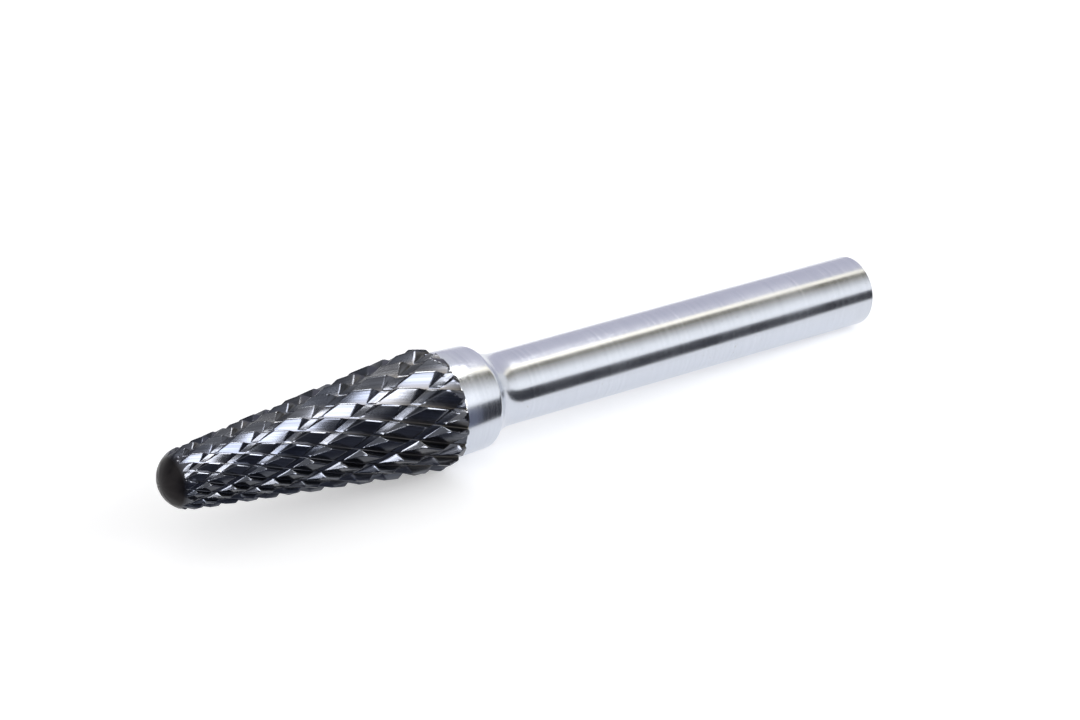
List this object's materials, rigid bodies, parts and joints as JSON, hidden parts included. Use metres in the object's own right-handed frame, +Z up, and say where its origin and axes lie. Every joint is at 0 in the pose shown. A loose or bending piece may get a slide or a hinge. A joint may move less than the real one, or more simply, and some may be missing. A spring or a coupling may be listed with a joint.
{
  "type": "carbide burr",
  "caption": "Ball-nosed cone rotary cutter with double-cut teeth, brazed to a collared steel shank.",
  "frame": {"origin": "on the bench, under the middle of the burr's length", "axes": "+X from the nose towards the end of the shank, level; +Z up from the bench; the tool axis dips by 2.41 degrees towards the shank's end"},
  "size_m": [0.07, 0.01, 0.0099],
  "materials": {
    "carbide": "satin",
    "braze": "satin",
    "steel": "gloss"
  },
  "bodies": {
    "root": {"cutting_head": "carbide", "braze_joint": "braze", "shank": "steel"}
  },
  "joints": []
}
